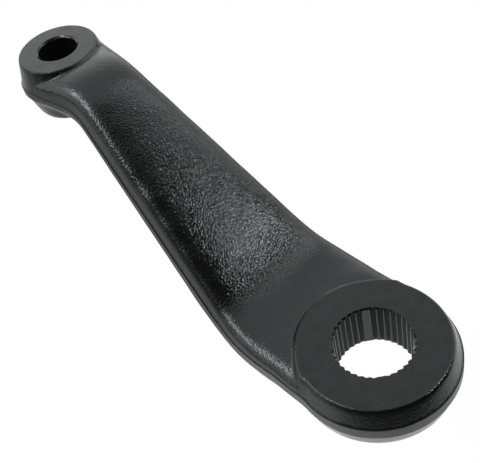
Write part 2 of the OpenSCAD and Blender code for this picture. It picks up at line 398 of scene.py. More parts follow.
def height(u, y, top):
    """Height over the parting surface, counted away from it, of the top or the bottom of the forging."""
    arm, big, small, joined = plan_field(u, y)
    arm, big, small = arm - LEDGE, big - LEDGE, small - LEDGE
    land = land_height(u, top)
    far = smooth_step(S_END / 2 - FACE_BLEND, S_END / 2 + FACE_BLEND, u)
    if top:
        lean_big = (BIG_LAND - BIG_FACE) / (BIG_HALF - land)
        lean_small = (SMALL_LAND - SMALL_FACE) / (SMALL_UP - land)
        face, rim = mixed(BIG_HALF, SMALL_UP, far), mixed(RIM_BIG, RIM_SMALL, far)
    else:
        lean_big = math.tan(DRAFT_EYE_FOOT)
        lean_small = (SMALL_LAND - SMALL_FOOT) / (SMALL_DOWN - land)
        face, rim = mixed(BIG_HALF, SMALL_DOWN, far), mixed(RIM_BIG_FOOT, RIM_SMALL_FOOT, far)
    k_big = BIG_FILLET * np.clip(u / BIG_FILLET_RUN, LEAST_BIG_FILLET, 1)
    k_small = SMALL_FILLET * np.clip((S_END - u) / SMALL_LAND, LEAST_SMALL_FILLET, 1)
    n = soft_max(arm_height(u, arm, land), land + big / lean_big, k_big)
    n = soft_max(n, land + small / lean_small, k_small)
    n = soft_max(n, land + LEDGE_RISE * joined, LEDGE_BLEND)
    n = soft_min(n, face, rim)
    waves = slow_waves(u if top else u + LOW_WAVES_AT, y)
    return n + waves * smooth_step(WAVES_END, WAVES_FULL, face - n)


probe = np.array([0.0, 25.0, 100.0, 160.0, 218.0])
print("top heights along the middle:", np.round(height(probe, np.zeros_like(probe), True), 2))

# %% [markdown]
# The serrated bore has 36 places for a tooth space, and four of them stay blind so that the arm fits its
# shaft in four ways only. One pitch of the wall is drawn twice, with a space and blind. Its outline also
# bounds the machined face round the bore, so the two meet point for point.

# %% One pitch of the serrated bore
CREST_R, ROOT_R = 17.45, 18.5
MOUTH, ROOT_WIDTH, BREAK = 2.5, 0.36, 0.12
FLANK_SHARES = (0.08, 0.16, 0.5, 0.84, 0.92)
CREST_POINTS, BLIND_POINTS = 4, 9
POSITIONS, BLIND_EVERY, FIRST_BLIND = 36, 9, 5
NUT_CHAMFER = 0.8
# Heights of the wall's rows from the nut side down, closer together in the chamfers
BORE_Z = [12.6, 12.33, 12.07, 11.8, 11.2, 6.0, 0.0, -6.0, -11.0, -11.55, -11.85, -12.2, -12.6]
PITCH = FULL_TURN / POSITIONS


def space_outline():
    """Half of one tooth space from the middle of a crest to the middle of the root, then mirrored."""
    mouth = math.asin(MOUTH / 2 / CREST_R)
    lip = BREAK / CREST_R
    crest = on_circle(CREST_R, -np.linspace(PITCH / 2, mouth + lip, CREST_POINTS))
    upper, lower = np.array((CREST_R, -MOUTH / 2)), np.array((ROOT_R, -ROOT_WIDTH / 2))
    flank = np.array([mixed(upper, lower, share) for share in FLANK_SHARES])
    root = np.array([(ROOT_R, -ROOT_WIDTH / 2 + BREAK), (ROOT_R, 0.0)])
    half = np.vstack((crest, flank, root))
    return np.vstack((half, (half * (1, -1))[-2::-1]))


def blind_outline():
    return on_circle(CREST_R, np.linspace(-PITCH / 2, PITCH / 2, BLIND_POINTS))


def widened(outline, r):
    """The outline pushed out to at least the radius r, as a chamfer does."""
    length = np.linalg.norm(outline, axis=1)
    return outline * (np.maximum(length, r) / length)[:, None]


def bore_radius(z):
    """Least radius of the bore at a height, from the chamfers of 45 degrees at its two ends."""
    nut_side, shaft_side = CREST_R + NUT_CHAMFER - (BIG_HALF - z), ROOT_R - (z + BIG_HALF)
    return max(nut_side, shaft_side, 0)


def turned(points, angle):
    c, s = math.cos(angle), math.sin(angle)
    return points @ np.array(((c, s), (-s, c)))


def bore_loop(z):
    """The whole outline of the bore at a height, as one closed loop of points."""
    parts = []
    for i in range(POSITIONS):
        blind = (i - FIRST_BLIND) % BLIND_EVERY == 0
        outline = widened(blind_outline() if blind else space_outline(), bore_radius(z))
        parts.append(turned(outline, i * PITCH)[:-1])
    return np.vstack(parts)


print("points round the bore:", len(bore_loop(BIG_HALF)))

# %% [markdown]
# The flat blank is a sheet of triangles for the top and another for the bottom. A plain grid would need
# very many faces to show the rims. These points follow the edge of the forging inwards in close steps
# where the walls are steep, ring the eyes where edges are rounded, and fill the rest with a lattice.

# %% Rings and lattice
LEAST_IN_RING = 12
LATTICE, ROW_SHARE = 1.6, 0.866
LATTICE_FROM, LATTICE_TO, LATTICE_HALF = -40, 245, 40


def ring(r, spacing, centre=0.0):
    """Points on a circle about an eye's axis, about so far apart."""
    count = max(int(FULL_TURN * r / spacing), LEAST_IN_RING)
    return on_circle(r, np.linspace(0, FULL_TURN, count, endpoint=False)) + (centre, 0)


def lattice_points():
    """Rows of points, every other one shifted by half a step."""
    row = np.arange(LATTICE_FROM, LATTICE_TO, LATTICE)
    across = np.arange(-LATTICE_HALF, LATTICE_HALF, LATTICE * ROW_SHARE)
    return np.vstack([np.column_stack((row + (i % 2) * LATTICE / 2, np.full_like(row, y)))
                      for i, y in enumerate(across)])


def kept_apart(points, taken, least):
    """The points that lie at least so far from those already taken."""
    near = kdtree.KDTree(len(taken))
    for i, (u, y) in enumerate(taken):
        near.insert((u, y, 0), i)
    near.balance()
    clear = [near.find((u, y, 0))[2] >= least for u, y in points]
    return points[np.array(clear, bool)]


print("lattice:", len(lattice_points()), "points, before those outside the edge are left out")

# %% [markdown]
# The order in which the points are laid down decides which of them stay: the loops of the two holes and
# the edge are fixed, then come the rims, the fillets, the steps inwards and the lattice, and each new
# point has to keep its distance from all that are there already.

# %% Points of a sheet
STEPS_IN = [0.15, 0.35, 0.55, 0.8, 1.05, 1.35, 1.7, 2.1, 2.6, 3.2, 3.9, 4.8, 5.8, 7.0, 8.3, 9.8, 11.4, 13.0]
RIM_RINGS = np.arange(-2.1, 2.2, 0.3)
BIG_FOOT_RINGS, SMALL_FOOT_RINGS = np.arange(31.5, 36.3, 0.5), np.arange(14.5, 20.6, 0.5)
BIG_FILLET_RINGS, SMALL_FILLET_RINGS = np.arange(36.0, 40.1, 0.6), np.arange(21.4, 30.5, 0.65)
BIG_RIM_SPACING, SMALL_RIM_SPACING = 0.8, 0.7
BIG_FILLET_SPACING, SMALL_FILLET_SPACING = 0.9, 0.8
RIM_APART, FILLET_APART, STEP_APART, LATTICE_APART = 0.12, 0.45, 0.3, 0.95
RIM_DEPTH, FILLET_DEPTH, STEP_DEPTH, LATTICE_DEPTH = 0.1, 2.4, 0.1, 1.0
HOLE_MARGIN = 0.5
STUD_R, STUD_TAPER, STUD_CHAMFER, STUD_POINTS = 9.95, 0.125, 0.8, 120
STUD_FOOT_R = STUD_R - STUD_TAPER * (SMALL_UP + SMALL_DOWN) / 2
STUD_TURN = np.linspace(0, FULL_TURN, STUD_POINTS, endpoint=False)


def sheet_points(top):
    """The loop of the shaft's bore, then that of the stud hole, the edge and everything inside."""
    shaft_loop = bore_loop(BIG_HALF if top else -BIG_HALF)
    stud_loop = on_circle((STUD_R if top else STUD_FOOT_R) + STUD_CHAMFER, STUD_TURN) + (S_END, 0)
    taken = np.vstack((shaft_loop, stud_loop, edge))
    big_rims = BIG_FACE + RIM_RINGS if top else BIG_FOOT_RINGS
    small_rims = SMALL_FACE + RIM_RINGS if top else SMALL_FOOT_RINGS
    rims = [ring(r, BIG_RIM_SPACING) for r in big_rims]
    rims += [ring(r, SMALL_RIM_SPACING, S_END) for r in small_rims]
    fillets = [ring(r, BIG_FILLET_SPACING) for r in BIG_FILLET_RINGS]
    fillets += [ring(r, SMALL_FILLET_SPACING, S_END) for r in SMALL_FILLET_RINGS]
    steps_in = [edge + inward * d for d in STEPS_IN]
    for batch, apart, depth in ((rims, RIM_APART, RIM_DEPTH), (fillets, FILLET_APART, FILLET_DEPTH),
                                (steps_in, STEP_APART, STEP_DEPTH),
                                ([lattice_points()], LATTICE_APART, LATTICE_DEPTH)):
        points = np.vstack(batch)
        u, y = points.T
        wanted = ((plan_field(u, y)[3] > depth) & (np.hypot(u, y) > ROOT_R + HOLE_MARGIN)
                  & (np.hypot(u - S_END, y) > STUD_R + STUD_CHAMFER + HOLE_MARGIN))
        taken = np.vstack((taken, kept_apart(points[wanted], taken, apart)))
    return taken, len(shaft_loop), len(stud_loop)


print("steps inwards from the edge:", len(STEPS_IN), "down to", STEPS_IN[-1], "mm")

# %% [markdown]
# A constrained Delaunay triangulation joins the points without crossing the edge or the holes. Blender
# has one in mathutils. It says which loops each triangle lies in, so the triangles inside a hole can be
# left out, and the height of each point then makes the sheet a relief.

# %% Triangles of the two sheets
MERGE_CLOSER = 1e-6
KEEP_INSIDE = 1
# The loops count from 0 in the order given: the edge, the shaft's bore and the stud hole
EDGE_ONLY = [0]


def sheet(top):
    """Points (distance along, across, height) and triangles of the top or the bottom, with the points
    round its stud hole and those along its edge."""
    flat, shaft_count, stud_count = sheet_points(top)
    stud_start = shaft_count + stud_count
    shaft_loop, stud_loop = list(range(shaft_count)), list(range(shaft_count, stud_start))
    edge_loop = list(range(stud_start, stud_start + edge_count))
    verts, _, triangles, point_sources, _, loop_sources = delaunay_2d_cdt(
        [Vector(p) for p in flat], [], [edge_loop, shaft_loop, stud_loop], KEEP_INSIDE, MERGE_CLOSER)
    place = {source: k for k, sources in enumerate(point_sources) for source in sources}
    solid = np.array([list(sources) == EDGE_ONLY for sources in loop_sources])
    triangles = np.array(triangles)[solid]
    u, y = np.array([tuple(v) for v in verts]).T
    n = height(u, y, top)
    points = np.column_stack((u, y, n if top else -n))
    loops = [np.array([place[i] for i in loop]) for loop in (stud_loop, edge_loop)]
    return points, triangles if top else triangles[:, ::-1], *loops


top_points, top_faces, top_stud, top_edge = sheet(True)
low_points, low_faces, low_stud, low_edge = sheet(False)
print("top:", len(top_faces), "triangles; bottom:", len(low_faces), "triangles")

# %% [markdown]
# The blank collects its points and faces in lists before it becomes a mesh. Each face is tagged with its
# finish, because a forged skin, a machined face, a trimmed band and a bore take paint in different ways.

# %% Faces of the two sheets
FORGED, FACED, TRIMMED, BORED = 0, 1, 2, 3
RIM_MARGIN, LEVEL = 0.3, 0.12
blank_rows, faces, finish = [top_points, low_points], [], []


def add_faces(new_faces, kind):
    faces.extend(tuple(int(i) for i in f) for f in new_faces)
    finish.extend([kind] * len(new_faces))


def is_faced(points, triangles, small_face):
    """Which triangles are on the machined flats: level with the face and inside its rim."""
    u, y, n = points[triangles].mean(axis=1).T
    on_big = (np.hypot(u, y) < BIG_FACE - RIM_MARGIN) & (np.abs(np.abs(n) - BIG_HALF) < LEVEL)
    in_small_rim = np.hypot(u - S_END, y) < SMALL_FACE - RIM_MARGIN
    return on_big | in_small_rim & (np.abs(np.abs(n) - small_face) < LEVEL)


low_start = len(top_points)
for points, triangles, small_face, start in ((top_points, top_faces, SMALL_UP, 0),
                                             (low_points, low_faces, SMALL_DOWN, low_start)):
    faced = is_faced(points, triangles, small_face)
    add_faces(triangles[~faced] + start, FORGED)
    add_faces(triangles[faced] + start, FACED)
print("machined triangles:", finish.count(FACED), "of", len(faces))

# %% [markdown]
# The two sheets are joined by the land, the upright band where the flash was trimmed off, and by the
# tapered wall of the stud hole with a chamfer at either end. Both are rows of points, joined by quads.

# %% Land and stud hole
LAND_ROWS = (0.04, 0.5, 0.96)
CHAMFER_STEPS, STUD_ROWS = (0.27, 0.54), 8


def add_row(new):
    """Adds a closed row of points and gives its indices."""
    start = sum(len(p) for p in blank_rows)
    blank_rows.append(new)
    return np.arange(start, start + len(new))


def add_bands(rows, kind, inward_wall=False):
    """Joins each closed row to the next by a band of quads."""
    for upper, lower in zip(rows, rows[1:]):
        quads = np.column_stack((upper, np.roll(upper, -1), np.roll(lower, -1), lower))
        add_faces(quads if inward_wall else quads[:, ::-1], kind)


land = [add_row(mixed(top_points[top_edge], low_points[low_edge], share)) for share in LAND_ROWS]
add_bands([top_edge] + land + [low_edge + low_start], TRIMMED)

stud_profile = [(SMALL_UP - d, STUD_R + STUD_CHAMFER - d) for d in CHAMFER_STEPS]
stud_profile += [(z, STUD_R - STUD_TAPER * (SMALL_UP - z) / 2)
                 for z in np.linspace(SMALL_UP - STUD_CHAMFER, STUD_CHAMFER - SMALL_DOWN, STUD_ROWS)]
stud_profile += [(d - SMALL_DOWN, STUD_FOOT_R + STUD_CHAMFER - d) for d in reversed(CHAMFER_STEPS)]
stud_wall = [add_row(np.column_stack((on_circle(r, STUD_TURN) + (S_END, 0), np.full(STUD_POINTS, z))))
             for z, r in stud_profile]
add_bands([top_stud] + stud_wall + [low_stud + low_start], BORED, inward_wall=True)
print("faces of the land and the stud hole:", finish.count(TRIMMED), finish.count(BORED))

# %% [markdown]
# Now the lists become a mesh. Its first coordinate is stretched from the plain parting line's length to
# the eased one's, and the finish goes along as a face attribute that a Geometry Nodes tree can read.

# %% The flat blank as one mesh
blank_points = np.vstack(blank_rows)
blank_points[:, 0] = np.interp(blank_points[:, 0], line_s, line_travel)
blank_mesh = bpy.data.meshes.new("flat_blank")
blank_mesh.from_pydata((blank_points * MM).tolist(), [], faces)
tags = blank_mesh.attributes.new("finish", "INT", "FACE")
tags.data.foreach_set("value", np.array(finish, np.int32))
blank = placed("flat_blank", blank_mesh)
print("flat blank:", len(blank_mesh.vertices), "points,", len(blank_mesh.polygons), "faces")

# %% [markdown]
# The tree that bends the blank needs two things from the scene: the four paints, which are still empty
# here, and the parting line as a curve object. A poly spline through the eased points is close enough,
# because its points lie a quarter of a millimetre apart.

# %% Paints, still empty, and the parting line as a curve
PAINT_NAMES = {FORGED: "black_paint_on_forged_skin", FACED: "black_paint_on_machined_face",
               TRIMMED: "black_paint_on_trimmed_land", BORED: "black_paint_in_bores"}
paints = {kind: bpy.data.materials.new(name) for kind, name in PAINT_NAMES.items()}
blank_mesh.materials.append(paints[FORGED])

line_data = bpy.data.curves.new("parting_line", "CURVE")
line_data.dimensions = "3D"
spline = line_data.splines.new("POLY")
spline.points.add(len(line_s) - 1)
spline_points = np.column_stack((line_x * MM, 0 * line_x, line_z * MM, np.ones_like(line_x)))
spline.points.foreach_set("co", spline_points.ravel())
line = placed("parting_line", line_data)
print("parting line curve:", len(line_s), "points")

# %% [markdown]
# Node trees are long when every socket is linked by hand, so a few helpers do it. One starts a Geometry
# Nodes tree with named inputs, one adds a node with its options and links in a single call, with a short
# form each for numbers and vectors, and one runs a tree on an object and keeps the result as a plain mesh.
# A modifier's inputs are set by the socket's identifier, because its name isn't a key there.


# %% Helpers for node trees
def new_tree(name, inputs):
    """A Geometry Nodes tree with the named inputs (name, socket type, default) beside its geometry."""
    tree = bpy.data.node_groups.new(name, "GeometryNodeTree")
    tree.interface.new_socket("Geometry", in_out="INPUT", socket_type="NodeSocketGeometry")
    for label, kind, value in inputs:
        socket = tree.interface.new_socket(label, in_out="INPUT", socket_type=kind)
        if value is not None:
            socket.default_value = value
    tree.interface.new_socket("Geometry", in_out="OUTPUT", socket_type="NodeSocketGeometry")
    return tree, tree.nodes.new("NodeGroupInput").outputs, tree.nodes.new("NodeGroupOutput").inputs


def node(tree, kind, links=(), **settings):
    """Adds a node, sets its options and links or sets its inputs: {input: socket or value}."""
    made = tree.nodes.new(kind)
    for key, value in settings.items():
        setattr(made, key, value)
    for key, value in dict(links).items():
        if isinstance(value, bpy.types.NodeSocket):
            tree.links.new(value, made.inputs[key])
        else:
            made.inputs[key].default_value = value
    return made


def math_node(tree, operation, a, b):
    return node(tree, "ShaderNodeMath", {0: a, 1: b}, operation=operation).outputs[0]


def vector_node(tree, operation, links):
    return node(tree, "ShaderNodeVectorMath", links, operation=operation).outputs[0]


def apply_tree(obj, tree, values, name):
    """Runs a tree on an object and gives the result as a plain mesh in a new object."""
    modifier = obj.modifiers.new(tree.name, "NODES")
    modifier.node_group = tree
    for item in tree.interface.items_tree:
        if item.in_out == "INPUT" and item.name in values:
            modifier[item.identifier] = values[item.name]
    evaluated = obj.evaluated_get(bpy.context.evaluated_depsgraph_get())
    mesh = bpy.data.meshes.new_from_object(evaluated)
    obj.modifiers.remove(modifier)
    mesh.name = name
    return placed(name, mesh)


# %% [markdown]
# Bending the blank is a rule: each point keeps its distance along the parting line, its place across it
# and its height over it. A Curve modifier can bend a mesh too. A Geometry Nodes tree is chosen because it
# shows the rule: it samples the line by length and sets the point off along the line's upright. It also
# hands each tagged set of faces its paint, so the mesh leaves the tree with its materials on it.

# %% Bend the blank along the parting line
PAINT_INPUTS = {FORGED: "Forged paint", FACED: "Faced paint", TRIMMED: "Land paint", BORED: "Bore paint"}
bend, given, result = new_tree("Bend along the parting line", [
    ("Parting line", "NodeSocketObject", None), ("Lead in", "NodeSocketFloat", LEAD_IN * MM)]
    + [(label, "NodeSocketMaterial", None) for label in PAINT_INPUTS.values()])
info = node(bend, "GeometryNodeObjectInfo", {"Object": given["Parting line"]}).outputs
place = node(bend, "ShaderNodeSeparateXYZ", {0: node(bend, "GeometryNodeInputPosition").outputs[0]}).outputs
reach = math_node(bend, "ADD", place["X"], given["Lead in"])
sample = node(bend, "GeometryNodeSampleCurve", {"Curves": info["Geometry"], "Length": reach},
              mode="LENGTH", use_all_curves=True).outputs
run = node(bend, "ShaderNodeSeparateXYZ", {0: sample["Tangent"]}).outputs
minus_z = math_node(bend, "MULTIPLY", run["Z"], -1.0)
across_line = node(bend, "ShaderNodeCombineXYZ", {"X": minus_z, "Z": run["X"]}).outputs[0]
upright = vector_node(bend, "NORMALIZE", {0: across_line})
raised = vector_node(bend, "SCALE", {0: upright, "Scale": place["Z"]})
sideways = node(bend, "ShaderNodeCombineXYZ", {"Y": place["Y"]}).outputs[0]
beside = vector_node(bend, "ADD", {0: sample["Position"], 1: sideways})
bent_place = vector_node(bend, "ADD", {0: beside, 1: raised})
bent = node(bend, "GeometryNodeSetPosition", {"Geometry": given["Geometry"], "Position": bent_place})
geometry = node(bend, "GeometryNodeRealizeInstances", {"Geometry": bent.outputs[0]}).outputs[0]
tag = node(bend, "GeometryNodeInputNamedAttribute", {"Name": "finish"}, data_type="INT").outputs["Attribute"]
for kind, label in PAINT_INPUTS.items():
    chosen = node(bend, "FunctionNodeCompare", {2: tag, 3: kind}, data_type="INT", operation="EQUAL")
    geometry = node(bend, "GeometryNodeSetMaterial", {
        "Geometry": geometry, "Selection": chosen.outputs[0], "Material": given[label]}).outputs[0]
bend.links.new(geometry, result[0])

bend_values = {"Parting line": line, "Lead in": LEAD_IN * MM}
bend_values |= {label: paints[kind] for kind, label in PAINT_INPUTS.items()}
forging = apply_tree(blank, bend, bend_values, "pitman_arm_forging")
print("bent forging:", len(forging.data.polygons), "faces,", [m.name for m in forging.data.materials])

# %% [markdown]
# The serrations repeat, so a second tree makes them. An Array modifier round an empty could turn copies,
# but it can't leave some of them blind. The tree puts one pitch of the wall at each of the 36 places,
# picks the blind pitch at every ninth of them, makes the copies real and welds their seams.

# %% Serrated wall of the big bore
SEAM = 2e-6


def pitch_object(name, outline):
    """One pitch of the bore's wall, as a strip of faces that look at the axis."""
    rows = [np.column_stack((widened(outline, bore_radius(z)), np.full(len(outline), z))) for z in BORE_Z]
    n = len(outline)
    quads = [(r * n + i, r * n + i + 1, (r + 1) * n + i + 1, (r + 1) * n + i)
             for r in range(len(rows) - 1) for i in range(n - 1)]
    mesh = bpy.data.meshes.new(name)
    mesh.from_pydata((np.vstack(rows) * MM).tolist(), [], quads)
    return placed(name, mesh)


space_pitch = pitch_object("tooth_space", space_outline())
blind_pitch = pitch_object("blind_tooth", blind_outline())
teeth, given, result = new_tree("Serrations round a bore", [
    ("Tooth space", "NodeSocketObject", None), ("Blind tooth", "NodeSocketObject", None),
    ("Positions", "NodeSocketInt", POSITIONS), ("Blind every", "NodeSocketInt", BLIND_EVERY),
    ("First blind", "NodeSocketInt", FIRST_BLIND), ("Paint", "NodeSocketMaterial", None)])
shapes = node(teeth, "GeometryNodeGeometryToInstance")
for label in ("Tooth space", "Blind tooth"):
    shape = node(teeth, "GeometryNodeObjectInfo", {"Object": given[label]})
    teeth.links.new(shape.outputs["Geometry"], shapes.inputs[0])
places = node(teeth, "GeometryNodeMeshLine", {"Count": given["Positions"], "Offset": (0.0, 0.0, 0.0)})
index = node(teeth, "GeometryNodeInputIndex").outputs[0]
turn = math_node(teeth, "MULTIPLY", index, math_node(teeth, "DIVIDE", FULL_TURN, given["Positions"]))
turn_z = node(teeth, "ShaderNodeCombineXYZ", {"Z": turn}).outputs[0]
past_blind = math_node(teeth, "FLOORED_MODULO", math_node(teeth, "SUBTRACT", index, given["First blind"]),
                       given["Blind every"])
has_space = math_node(teeth, "GREATER_THAN", past_blind, 0.5)
copies = node(teeth, "GeometryNodeInstanceOnPoints", {
    "Points": places.outputs[0], "Instance": shapes.outputs[0], "Pick Instance": True,
    "Instance Index": has_space, "Rotation": turn_z})
real = node(teeth, "GeometryNodeRealizeInstances", {"Geometry": copies.outputs[0]})
welded = node(teeth, "GeometryNodeMergeByDistance", {"Geometry": real.outputs[0], "Distance": SEAM})
painted = node(teeth, "GeometryNodeSetMaterial", {"Geometry": welded.outputs[0], "Material": given["Paint"]})
teeth.links.new(painted.outputs[0], result[0])
seat = placed("bore_seat", bpy.data.meshes.new("bore_seat"))
wall = apply_tree(seat, teeth, {
    "Tooth space": space_pitch, "Blind tooth": blind_pitch, "Positions": POSITIONS,
    "Blind every": BLIND_EVERY, "First blind": FIRST_BLIND, "Paint": paints[BORED]}, "serrated_wall")
print("serrated wall:", len(wall.data.polygons), "faces")

# %% [markdown]
# The forging is one piece of steel, so the serrated wall is welded into it and the helpers are thrown
# away. The result has to be closed: every edge needs exactly two faces. Edges that turn sharply stay
# crisp, and all others are shaded smooth.

# %% Weld into one closed piece
CRISP = math.radians(32)
WELD = 3e-6
joined = bmesh.new()
joined.from_mesh(forging.data)
bore_slot = list(forging.data.materials).index(paints[BORED])
before = len(joined.faces)
joined.from_mesh(wall.data)
joined.faces.ensure_lookup_table()
for face in joined.faces[before:]:
    face.material_index = bore_slot
bmesh.ops.remove_doubles(joined, verts=[v for v in joined.verts if v.is_boundary], dist=WELD)
open_edges = sum(not e.is_manifold for e in joined.edges)
joined.to_mesh(forging.data)
volume = joined.calc_volume(signed=True)
joined.free()
for helper in (blank, line, space_pitch, blind_pitch, seat, wall):
    bpy.data.objects.remove(helper)
forging.data.shade_smooth()
forging.data.set_sharp_from_angle(angle=CRISP)
print("open edges:", open_edges, "faces:", len(forging.data.polygons))
print("volume in cm3:", round(volume * 1e6, 1))

# %% [markdown]
# All of the arm wears one satin black paint, but what lies under it differs: blasted forged skin, turned
# faces, the sheared band where the flash was trimmed off, and cut bores. What the finishes share is built
# once, as shader node groups with named inputs, and each paint sets its own values. Patterns read Object
# coordinates, which are metres in the CAD frame, so a pebble has its real size wherever it lies.


# %% Helpers for shader trees
def shader_group(name, inputs, outputs):
    """A shader node group with the named inputs (name, socket type, default) and outputs (name, type)."""
    group = bpy.data.node_groups.new(name, "ShaderNodeTree")
    for label, kind, value in inputs:
        group.interface.new_socket(label, in_out="INPUT", socket_type=kind).default_value = value
    for label, kind in outputs:
        group.interface.new_socket(label, in_out="OUTPUT", socket_type=kind)
    return group, group.nodes.new("NodeGroupInput").outputs, group.nodes.new("NodeGroupOutput").inputs


def object_place(tree):
    return node(tree, "ShaderNodeTexCoord").outputs["Object"]


def noise(tree, where, size, detail, roughness=0.5):
    """A noise pattern whose features have about the given size in metres."""
    return node(tree, "ShaderNodeTexNoise", {
        "Vector": where, "Scale": math_node(tree, "DIVIDE", 1.0, size), "Detail": detail,
        "Roughness": roughness}).outputs[0]


def ramp(tree, value, low, high, at_low, at_high, way="LINEAR"):
    """A value that passes from at_low to at_high while another one passes from low to high."""
    return node(tree, "ShaderNodeMapRange", {
        "Value": value, "From Min": low, "From Max": high, "To Min": at_low, "To Max": at_high},
        interpolation_type=way).outputs[0]


# %% [markdown]
# Before painting, the forging was blasted with shot, which leaves a skin of small round pebbles with a
# finer grain on them. At about 0.85 mm they are too small for geometry, so they are a height for a Bump
# node, made of two noise patterns.

# %% Group: blasted skin under the paint
skin, given, result = shader_group("Blasted skin under paint", [
    ("Pebble size", "NodeSocketFloat", 0.00085), ("Grain size", "NodeSocketFloat", 0.0004),
    ("Grain share", "NodeSocketFloat", 0.2)], [("Height", "NodeSocketFloat")])
where = object_place(skin)
pebbles = noise(skin, where, given["Pebble size"], detail=1.0)
fine_noise = noise(skin, where, given["Grain size"], detail=1.0)
grain = math_node(skin, "MULTIPLY", fine_noise, given["Grain share"])
skin.links.new(math_node(skin, "ADD", pebbles, grain), result["Height"])
print("skin inputs:", [socket.name for socket in given if socket.name])

# %% [markdown]
# Sprayed paint isn't equally thick everywhere. Where it is thin it looks a trace greyer and less glossy.
# One cloudy noise drives both, between limits that each finish sets.

# %% Group: film of sprayed paint
THICK_PAINT, THIN_PAINT = (0.003, 0.003, 0.0031, 1), (0.006, 0.006, 0.0062, 1)
CLOUD_LOW, CLOUD_HIGH = 0.35, 0.65
film, given, result = shader_group("Sprayed paint film", [
    ("Thick colour", "NodeSocketColor", THICK_PAINT), ("Thin colour", "NodeSocketColor", THIN_PAINT),
    ("Patch size", "NodeSocketFloat", 0.03),
    ("Roughness where thick", "NodeSocketFloat", 0.24), ("Roughness where thin", "NodeSocketFloat", 0.36)],
    [("Colour", "NodeSocketColor"), ("Roughness", "NodeSocketFloat")])
clouds = noise(film, object_place(film), given["Patch size"], detail=4.0, roughness=0.6)
thinness = ramp(film, clouds, CLOUD_LOW, CLOUD_HIGH, 0.0, 1.0)
tint = node(film, "ShaderNodeMix", {0: thinness, 6: given["Thick colour"], 7: given["Thin colour"]},
            data_type="RGBA")
rough = ramp(film, clouds, CLOUD_LOW, CLOUD_HIGH,
             given["Roughness where thick"], given["Roughness where thin"])
film.links.new(tint.outputs[2], result["Colour"])
film.links.new(rough, result["Roughness"])
print("film inputs:", [socket.name for socket in given if socket.name])

# %% [markdown]
# The trimming die and the broach both moved upright and left fine lines along their way. Noise that is
# stretched along Z gives such lines, and the paint softens them.

# %% Group: tool marks
ALONG_THE_TOOL = (1.0, 1.0, 0.05)
tool_marks, given, result = shader_group("Tool marks", [
    ("Mark width", "NodeSocketFloat", 0.0005), ("Stretch", "NodeSocketVector", ALONG_THE_TOOL)],
    [("Height", "NodeSocketFloat")])
drawn = vector_node(tool_marks, "MULTIPLY", {0: object_place(tool_marks), 1: given["Stretch"]})
tool_marks.links.new(noise(tool_marks, drawn, given["Mark width"], detail=2.0), result["Height"])
print("shader groups:", [g.name for g in (skin, film, tool_marks)])

# %% [markdown]
# In the tooth spaces the paint looks dry and matt, as it does where little spray gets in. The mask for
# that could be painted by hand; it is worked out from the place alone, farther from the bore's axis than
# the crests and below the chamfer. It serves one paint only, so it is a function and not a group.

# %% Mask of the tooth spaces
GROOVE_EDGE, GROOVE_FULL, GROOVE_MARGIN = 0.04, 0.2, 1.0


def groove_mask(tree):
    """1 in the tooth spaces of the big bore and 0 elsewhere."""
    where = object_place(tree)
    in_plan = vector_node(tree, "MULTIPLY", {0: where, 1: (1, 1, 0)})
    from_axis = node(tree, "ShaderNodeVectorMath", {0: in_plan}, operation="LENGTH").outputs["Value"]
    deep = ramp(tree, from_axis, (CREST_R + GROOVE_EDGE) * MM, (CREST_R + GROOVE_FULL) * MM, 0.0, 1.0)
    in_bore = math_node(tree, "LESS_THAN", from_axis, (ROOT_R + GROOVE_MARGIN) * MM)
    up = node(tree, "ShaderNodeSeparateXYZ", {0: where}).outputs["Z"]
    below = math_node(tree, "LESS_THAN", up, (BIG_HALF - NUT_CHAMFER) * MM)
    return math_node(tree, "MULTIPLY", math_node(tree, "MULTIPLY", deep, in_bore), below)


print("tooth spaces are matt from", round(CREST_R + GROOVE_FULL, 2), "mm off the axis")

# %% [markdown]
# Each paint is a Principled shader with the groups feeding its colour, roughness and normal. The forged
# skin is the glossiest and has the deepest pebbles, which is what makes it sparkle. The machined faces
# are smooth and satin. All four share a slightly cool sheen, set as a constant on the shader.

# %% The four paints
COOL_SHEEN = (0.95, 0.99, 1.0, 1.0)
PLAIN_SHINE = 0.5
FINISHES = {
    FORGED: {"film": {"Roughness where thick": 0.07, "Roughness where thin": 0.11}, "skin": {},
             "relief": 0.00018},
    FACED: {"film": {"Roughness where thick": 0.28, "Roughness where thin": 0.42, "Patch size": 0.006},
            "skin": {"Pebble size": 0.0007, "Grain size": 0.0003}, "relief": 0.00003, "shine": 0.36},
    TRIMMED: {"film": {"Roughness where thick": 0.34, "Roughness where thin": 0.46}, "skin": {},
              "marks": {"Mark width": 0.0007}, "relief": 0.00005, "shine": 0.7},
    BORED: {"film": {"Roughness where thick": 0.12, "Roughness where thin": 0.18},
            "skin": {"Pebble size": 0.0006}, "marks": {"Mark width": 0.0004}, "relief": 0.00002,
            "shine": 0.42, "groove": 0.58},
}


